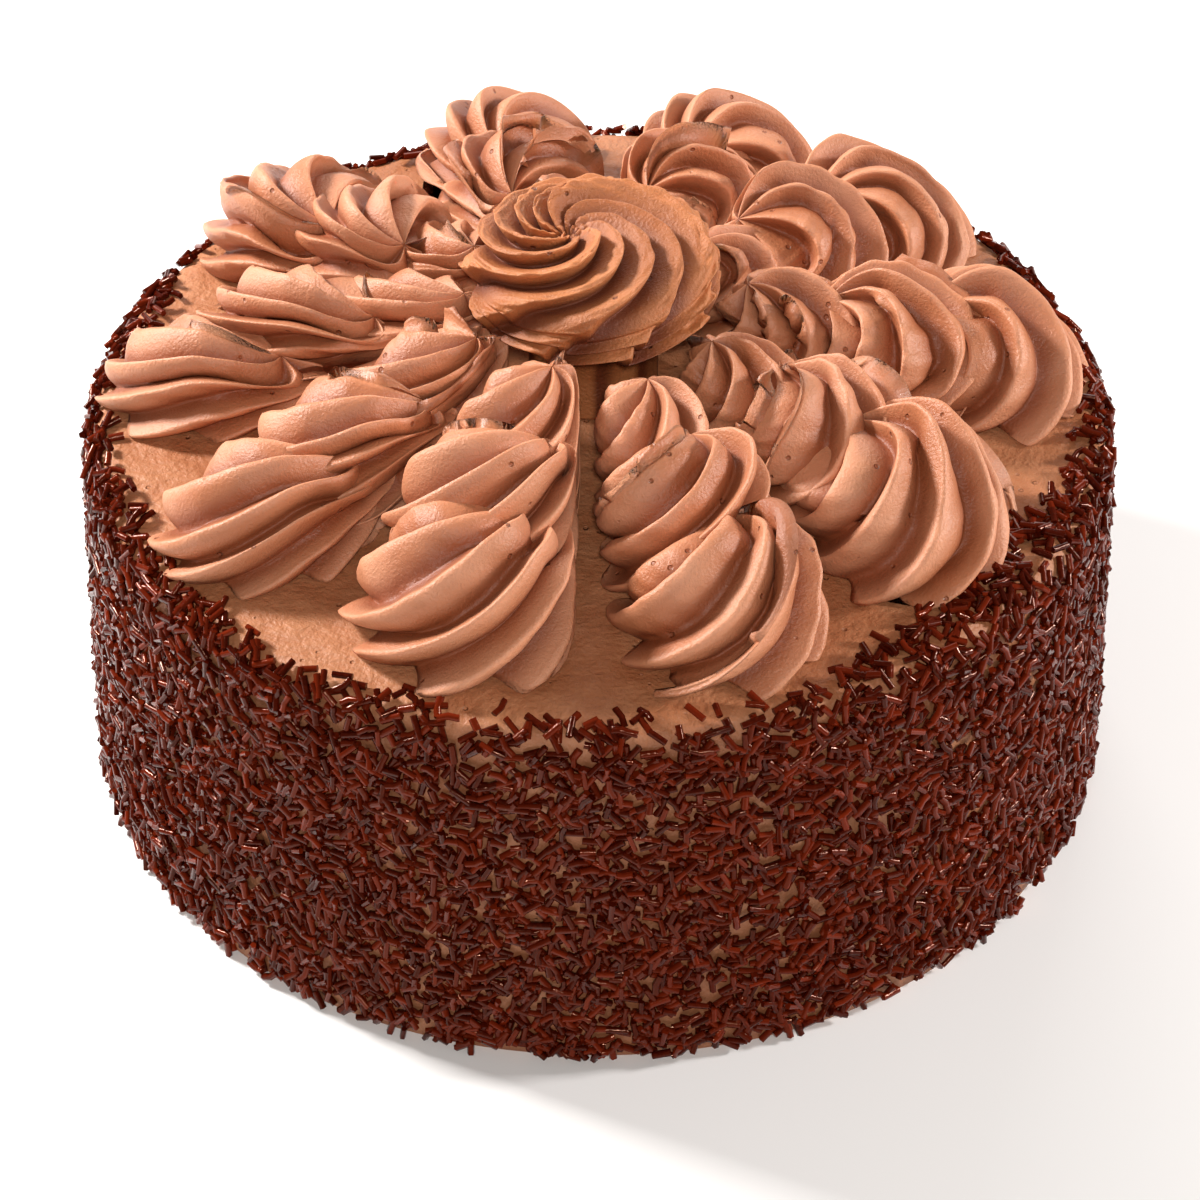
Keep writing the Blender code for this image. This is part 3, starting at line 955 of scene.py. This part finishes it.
@dataclass
class SprinkleCoat:
    """The coat of sprinkles on the side and over the edge of the top, scattered over a carrier skin."""

    body: IcedBody
    rods: tuple[RodSize, ...] = (
        RodSize(Piece.LONG_RODS, (3.3, 4.5), 0.70, 0.0, 4, 82000.0, (0.5, 1.6), 0.22, 3),
        RodSize(Piece.SHORT_RODS, (2.2, 3.1), 0.74, 0.0, 4, 86000.0, (0.2, 1.4), 0.34, 14),
        RodSize(Piece.BENT_RODS, (3.0, 4.1), 0.68, 0.35, 5, 60000.0, (0.5, 1.8), 0.34, 25),
        RodSize(Piece.UNDER_RODS, (2.8, 4.2), 0.72, 0.0, 4, 50000.0, (0.0, 0.6), 0.10, 36),
        RodSize(Piece.THIN_RODS, (2.5, 3.8), 0.62, 0.0, 4, 76000.0, (0.6, 1.9), 0.40, 47),
    )
    segments: int = 180
    side_rings: int = 30
    # Where the carrier starts and turns onto the shoulder, and how near the axis it comes
    lowest: float = 1.9 * MM
    side_top: float = 74.0 * MM
    innermost: float = 84.0 * MM
    # Where the coat ends on the top, how ragged and how soft its edge is, and where it spills inwards
    edge: float = 95.2 * MM
    edge_wander: float = 0.9 * MM
    edge_softness: float = 1.6 * MM
    edge_depth: float = 2.5 * MM
    spill: float = 8.5 * MM
    spill_azimuth: float = math.radians(-37)
    spill_width: float = math.radians(21)

    def _inner_edge(self, azimuth: float, waves: Waves) -> float:
        """How far from the axis the coat ends on the top, at this azimuth."""
        apart = (azimuth - self.spill_azimuth + math.pi) % (2 * math.pi) - math.pi
        spill = self.spill * math.exp(-((apart / self.spill_width) ** 2))
        ragged = float(waves.at(np.array(0.0), np.array(azimuth)))
        return self.edge - spill + self.edge_wander * ragged

    def _carrier(self) -> bpy.types.Object:
        """The skin that the sprinkles lie on, with how thickly they lie at each vertex."""
        heights = np.linspace(self.lowest, self.side_top, self.side_rings)
        outline = [(self.body.side_radius(height), height) for height in heights]
        for radius, height in self.body.outline():
            if height > self.side_top and radius > self.innermost:
                outline.append((radius, height))
        waves = Waves(seed=12, count=9, fastest=0.31, rounds=14)
        mesh = bpy.data.meshes.new("coat_carrier")
        points, coat = [], []
        for radius, height in outline:
            on_top = height > TOP_LEVEL - self.edge_depth
            for i in range(self.segments):
                azimuth = 2 * math.pi * i / self.segments
                points.append((*polar(radius, azimuth), height))
                inside = (radius - self._inner_edge(azimuth, waves)) / self.edge_softness
                coat.append(max(0.0, min(1.0, 0.5 + 0.5 * inside)) if on_top else 1.0)
        faces = []
        for row in range(len(outline) - 1):
            for i in range(self.segments):
                j = (i + 1) % self.segments
                base = row * self.segments
                faces.append((base + i, base + j, base + self.segments + j, base + self.segments + i))
        mesh.from_pydata(points, [], faces)
        store(mesh, "coat", np.array(coat))
        carrier = bpy.data.objects.new("coat_carrier", mesh)
        bpy.context.scene.collection.objects.link(carrier)
        return carrier

    def _tree(self, size: RodSize, material: bpy.types.Material) -> bpy.types.GeometryNodeTree:
        """The Geometry Nodes that scatter one kind of sprinkle over the carrier.

        Args:
            size: its piece, its sizes and how it lies.
            material: its finish.

        Returns:
            The tree, with named inputs for its sizes.
        """
        tree = bpy.data.node_groups.new(f"scatter_{size.piece.value}", "GeometryNodeTree")
        tree.interface.new_socket("Skin", in_out="INPUT", socket_type="NodeSocketGeometry")
        for name, value in (
            ("Shortest", size.length[0] * MM),
            ("Longest", size.length[1] * MM),
            ("Radius", size.radius * MM),
            ("Bend", size.bend * MM),
            ("Density", size.density),
            ("Lowest", size.lift[0] * MM),
            ("Highest", size.lift[1] * MM),
            ("Tilt", size.tilt),
        ):
            socket = tree.interface.new_socket(name, in_out="INPUT", socket_type="NodeSocketFloat")
            socket.default_value = value
        tree.interface.new_socket("Coat", in_out="OUTPUT", socket_type="NodeSocketGeometry")
        graph = NodeGraph(tree)
        given = graph.add("NodeGroupInput")
        rod = self._rod(graph, given, size)
        scatter = graph.add("GeometryNodeDistributePointsOnFaces", distribute_method="RANDOM")
        coat = graph.add("GeometryNodeInputNamedAttribute", data_type="FLOAT")
        coat.inputs["Name"].default_value = "coat"
        graph.link(given.outputs["Skin"], scatter.inputs["Mesh"])
        dense = graph.math("MULTIPLY", coat.outputs["Attribute"], given.outputs["Density"])
        graph.link(dense, scatter.inputs["Density"])
        scatter.inputs["Seed"].default_value = size.seed
        spin = self._draw(graph, (0.0, 2 * math.pi), size.seed + 1)
        tilt = self._draw(graph, (-1.0, 1.0), size.seed + 2)
        tilted = graph.math("MULTIPLY", tilt, given.outputs["Tilt"])
        turned = graph.add("ShaderNodeCombineXYZ")
        graph.link(tilted, turned.inputs["Y"])
        graph.link(spin, turned.inputs["Z"])
        euler = graph.add("FunctionNodeEulerToRotation")
        graph.link(turned.outputs["Vector"], euler.inputs["Euler"])
        whole = graph.add("FunctionNodeRotateRotation", rotation_space="LOCAL")
        graph.link(scatter.outputs["Rotation"], whole.inputs["Rotation"])
        graph.link(euler.outputs["Rotation"], whole.inputs["Rotate By"])
        length = graph.add("FunctionNodeRandomValue", data_type="FLOAT")
        graph.link(given.outputs["Shortest"], length.inputs[2])
        graph.link(given.outputs["Longest"], length.inputs[3])
        length.inputs["Seed"].default_value = size.seed + 3
        stretch = graph.add("ShaderNodeCombineXYZ")
        longer = graph.math("DIVIDE", length.outputs[1], given.outputs["Longest"])
        graph.link(longer, stretch.inputs["X"])
        thick = self._draw(graph, (0.88, 1.12), size.seed + 4)
        graph.link(thick, stretch.inputs["Y"])
        graph.link(thick, stretch.inputs["Z"])
        lift = graph.add("FunctionNodeRandomValue", data_type="FLOAT")
        graph.link(given.outputs["Lowest"], lift.inputs[2])
        graph.link(given.outputs["Highest"], lift.inputs[3])
        lift.inputs["Seed"].default_value = size.seed + 5
        along = graph.add("ShaderNodeVectorMath", operation="SCALE")
        graph.link(scatter.outputs["Normal"], along.inputs[0])
        graph.link(lift.outputs[1], along.inputs["Scale"])
        raised = graph.add("GeometryNodeSetPosition")
        graph.link(scatter.outputs["Points"], raised.inputs["Geometry"])
        graph.link(along.outputs["Vector"], raised.inputs["Offset"])
        copies = graph.add("GeometryNodeInstanceOnPoints")
        graph.link(raised.outputs["Geometry"], copies.inputs["Points"])
        graph.link(rod, copies.inputs["Instance"])
        graph.link(whole.outputs["Rotation"], copies.inputs["Rotation"])
        graph.link(stretch.outputs["Vector"], copies.inputs["Scale"])
        toned = graph.add("GeometryNodeStoreNamedAttribute", data_type="FLOAT", domain="INSTANCE")
        toned.inputs["Name"].default_value = "tone"
        graph.link(copies.outputs["Instances"], toned.inputs["Geometry"])
        graph.link(self._draw(graph, (0.0, 1.0), size.seed + 6), toned.inputs["Value"])
        real = graph.add("GeometryNodeRealizeInstances")
        graph.link(toned.outputs["Geometry"], real.inputs["Geometry"])
        dressed = graph.add("GeometryNodeSetMaterial")
        dressed.inputs["Material"].default_value = material
        graph.link(real.outputs["Geometry"], dressed.inputs["Geometry"])
        out = graph.add("NodeGroupOutput")
        graph.link(dressed.outputs["Geometry"], out.inputs["Coat"])
        return tree

    def _draw(self, graph: NodeGraph, span: tuple[float, float], seed: int) -> bpy.types.NodeSocket:
        """A seeded random number in a span for each point."""
        node = graph.add("FunctionNodeRandomValue", data_type="FLOAT")
        node.inputs[2].default_value = span[0]
        node.inputs[3].default_value = span[1]
        node.inputs["Seed"].default_value = seed
        return node.outputs[1]

    def _rod(self, graph: NodeGraph, given: bpy.types.Node, size: RodSize) -> bpy.types.NodeSocket:
        """One sprinkle along x: a tube with blunt round ends, bent if its kind is."""
        line = graph.add("GeometryNodeCurvePrimitiveLine")
        line.inputs["Start"].default_value = (-1.0, 0.0, 0.0)
        line.inputs["End"].default_value = (1.0, 0.0, 0.0)
        fine = graph.add("GeometryNodeResampleCurve", mode="COUNT")
        fine.inputs["Count"].default_value = size.points
        graph.link(line.outputs["Curve"], fine.inputs["Curve"])
        split = graph.add("ShaderNodeSeparateXYZ")
        graph.link(graph.add("GeometryNodeInputPosition").outputs["Position"], split.inputs["Vector"])
        place = split.outputs["X"]
        far = graph.math("ABSOLUTE", place, 0.0)
        inner = graph.math("LESS_THAN", far, 0.9)
        middle = graph.math("LESS_THAN", far, 0.2)
        half = graph.math("MULTIPLY", given.outputs["Longest"], 0.5)
        cap = graph.math("MULTIPLY", inner, graph.math("MULTIPLY", given.outputs["Radius"], size.end_length))
        reach = graph.math("SUBTRACT", half, cap)
        outer = graph.math("MULTIPLY", reach, graph.math("SUBTRACT", 1.0, middle))
        x = graph.math("MULTIPLY", outer, graph.math("SIGN", place, 0.0))
        y = graph.math("MULTIPLY", given.outputs["Bend"], middle)
        spot = graph.add("ShaderNodeCombineXYZ")
        graph.link(x, spot.inputs["X"])
        graph.link(y, spot.inputs["Y"])
        moved = graph.add("GeometryNodeSetPosition")
        graph.link(fine.outputs["Curve"], moved.inputs["Geometry"])
        graph.link(spot.outputs["Vector"], moved.inputs["Position"])
        width = graph.add("GeometryNodeSetCurveRadius")
        graph.link(moved.outputs["Geometry"], width.inputs["Curve"])
        end = graph.math("ADD", graph.math("MULTIPLY", inner, 1.0 - size.end_width), size.end_width)
        graph.link(graph.math("MULTIPLY", end, given.outputs["Radius"]), width.inputs["Radius"])
        ring = graph.add("GeometryNodeCurvePrimitiveCircle", mode="RADIUS")
        ring.inputs["Resolution"].default_value = size.sides
        ring.inputs["Radius"].default_value = 1.0
        tube = graph.add("GeometryNodeCurveToMesh")
        graph.link(width.outputs["Curve"], tube.inputs["Curve"])
        graph.link(ring.outputs["Curve"], tube.inputs["Profile Curve"])
        if "Scale" in tube.inputs:
            radius = graph.add("GeometryNodeInputRadius")
            graph.link(radius.outputs["Radius"], tube.inputs["Scale"])
        tube.inputs["Fill Caps"].default_value = True
        return tube.outputs["Mesh"]

    def build(self, material: bpy.types.Material) -> list[bpy.types.Object]:
        """Scatters each kind of sprinkle and turns it into a plain mesh.

        Args:
            material: the glaze.

        Returns:
            One piece for each kind.
        """
        carrier = self._carrier()
        pieces = []
        for size in self.rods:
            modifier = carrier.modifiers.new("scatter", "NODES")
            modifier.node_group = self._tree(size, material)
            bpy.context.view_layer.update()
            graph = bpy.context.evaluated_depsgraph_get()
            mesh = bpy.data.meshes.new_from_object(carrier.evaluated_get(graph))
            carrier.modifiers.remove(modifier)
            pieces.append(place_piece(size.piece.value, mesh, material))
        bpy.data.objects.remove(carrier, do_unlink=True)
        return pieces


@dataclass(frozen=True)
class SoftLight:
    """A square soft light: its place and size in metres, its power in watts and its tint."""

    name: str
    place: tuple[float, float, float]
    power: float
    size: float
    tint: Colour


@dataclass
class Studio:
    """Pale floor, soft lights and the camera at the photograph's angle."""

    aim: tuple[float, float, float] = (0.0003, 0.0, 0.0266)
    distance: float = 0.684
    elevation: float = math.radians(40)
    focal: float = 99.9
    floor_size: float = 6.0
    world_tint: Colour = (1.0, 0.93, 0.86)
    world_strength: float = 0.20
    # Height of the place that the lights face, over the middle of the floor
    lit_height: float = 0.06
    lights: tuple[SoftLight, ...] = (
        SoftLight("key", (-0.62, 0.28, 0.54), 13.0, 0.16, (1.0, 0.97, 0.94)),
        SoftLight("fill", (0.82, 0.02, 0.38), 7.0, 0.12, (1.0, 0.96, 0.94)),
        SoftLight("back", (0.10, 0.85, 0.50), 3.0, 0.5, (1.0, 0.98, 0.96)),
        SoftLight("front", (0.02, -0.84, 0.75), 5.2, 0.07, (1.0, 0.96, 0.92)),
    )

    def _add_floor(self, finish: bpy.types.Material) -> None:
        """The floor that the cake stands on, which is stage."""
        half = self.floor_size / 2
        corners = [(-half, -half, 0), (half, -half, 0), (half, half, 0), (-half, half, 0)]
        mesh = bpy.data.meshes.new("floor")
        mesh.from_pydata(corners, [], [(0, 1, 2, 3)])
        mesh.materials.append(finish)
        floor = bpy.data.objects.new("floor", mesh)
        bpy.context.scene.collection.objects.link(floor)

    def _add_world(self) -> None:
        """A dim warm world."""
        world = bpy.data.worlds.new("studio")
        world.use_nodes = True
        back = world.node_tree.nodes["Background"]
        back.inputs["Color"].default_value = (*self.world_tint, 1.0)
        back.inputs["Strength"].default_value = self.world_strength
        bpy.context.scene.world = world

    def _add_light(self, plan: SoftLight) -> None:
        """One light, turned to face the cake."""
        light = bpy.data.lights.new(plan.name, "AREA")
        light.energy = plan.power
        light.size = plan.size
        light.color = plan.tint
        made = bpy.data.objects.new(plan.name, light)
        made.location = plan.place
        towards = Vector((0, 0, self.lit_height)) - Vector(plan.place)
        made.rotation_euler = towards.to_track_quat("-Z", "Y").to_euler()
        bpy.context.scene.collection.objects.link(made)

    def _add_camera(self) -> None:
        """The camera at the photograph's angle."""
        lens = bpy.data.cameras.new("camera")
        lens.lens = self.focal
        lens.sensor_width = 36.0
        lens.clip_start = 0.01
        camera = bpy.data.objects.new("camera", lens)
        away = Vector((0, -math.cos(self.elevation), math.sin(self.elevation))) * self.distance
        camera.location = Vector(self.aim) + away
        camera.rotation_euler = Euler((math.pi / 2 - self.elevation, 0, 0))
        bpy.context.scene.collection.objects.link(camera)
        bpy.context.scene.camera = camera

    def build(self, floor_finish: bpy.types.Material) -> None:
        """Sets the floor, world, lights, view and camera.

        Args:
            floor_finish: the floor's material.
        """
        self._add_floor(floor_finish)
        self._add_world()
        for plan in self.lights:
            self._add_light(plan)
        bpy.context.scene.view_settings.view_transform = "Standard"
        self._add_camera()


def main() -> None:
    """Builds and dresses each part of the cake in turn."""
    logging.basicConfig(level=logging.INFO, format="%(name)s: %(message)s")
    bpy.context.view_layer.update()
    finishes = Finishes()
    Studio().build(finishes.floor())
    body = IcedBody()
    icing = body.build(finishes.icing(TOP_ICING))
    coat = SprinkleCoat(body).build(finishes.sprinkle(ROD_FINISH))
    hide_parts("cake")
    for piece in (icing, *coat):
        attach(piece, "root")
        LOG.info("made %s", piece.name)
    for number, petal in enumerate(Petals().build(finishes.cream(PETAL_CREAM)), start=1):
        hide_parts(f"petal_{number:02d}")
        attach(petal, "root")
        LOG.info("made %s with %d faces", petal.name, len(petal.data.polygons))
    rosette = Rosette().build(finishes.cream(ROSETTE_CREAM))
    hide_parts("rosette")
    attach(rosette, "root")
    LOG.info("made %s with %d faces", rosette.name, len(rosette.data.polygons))


if __name__ == "__main__":
    main()
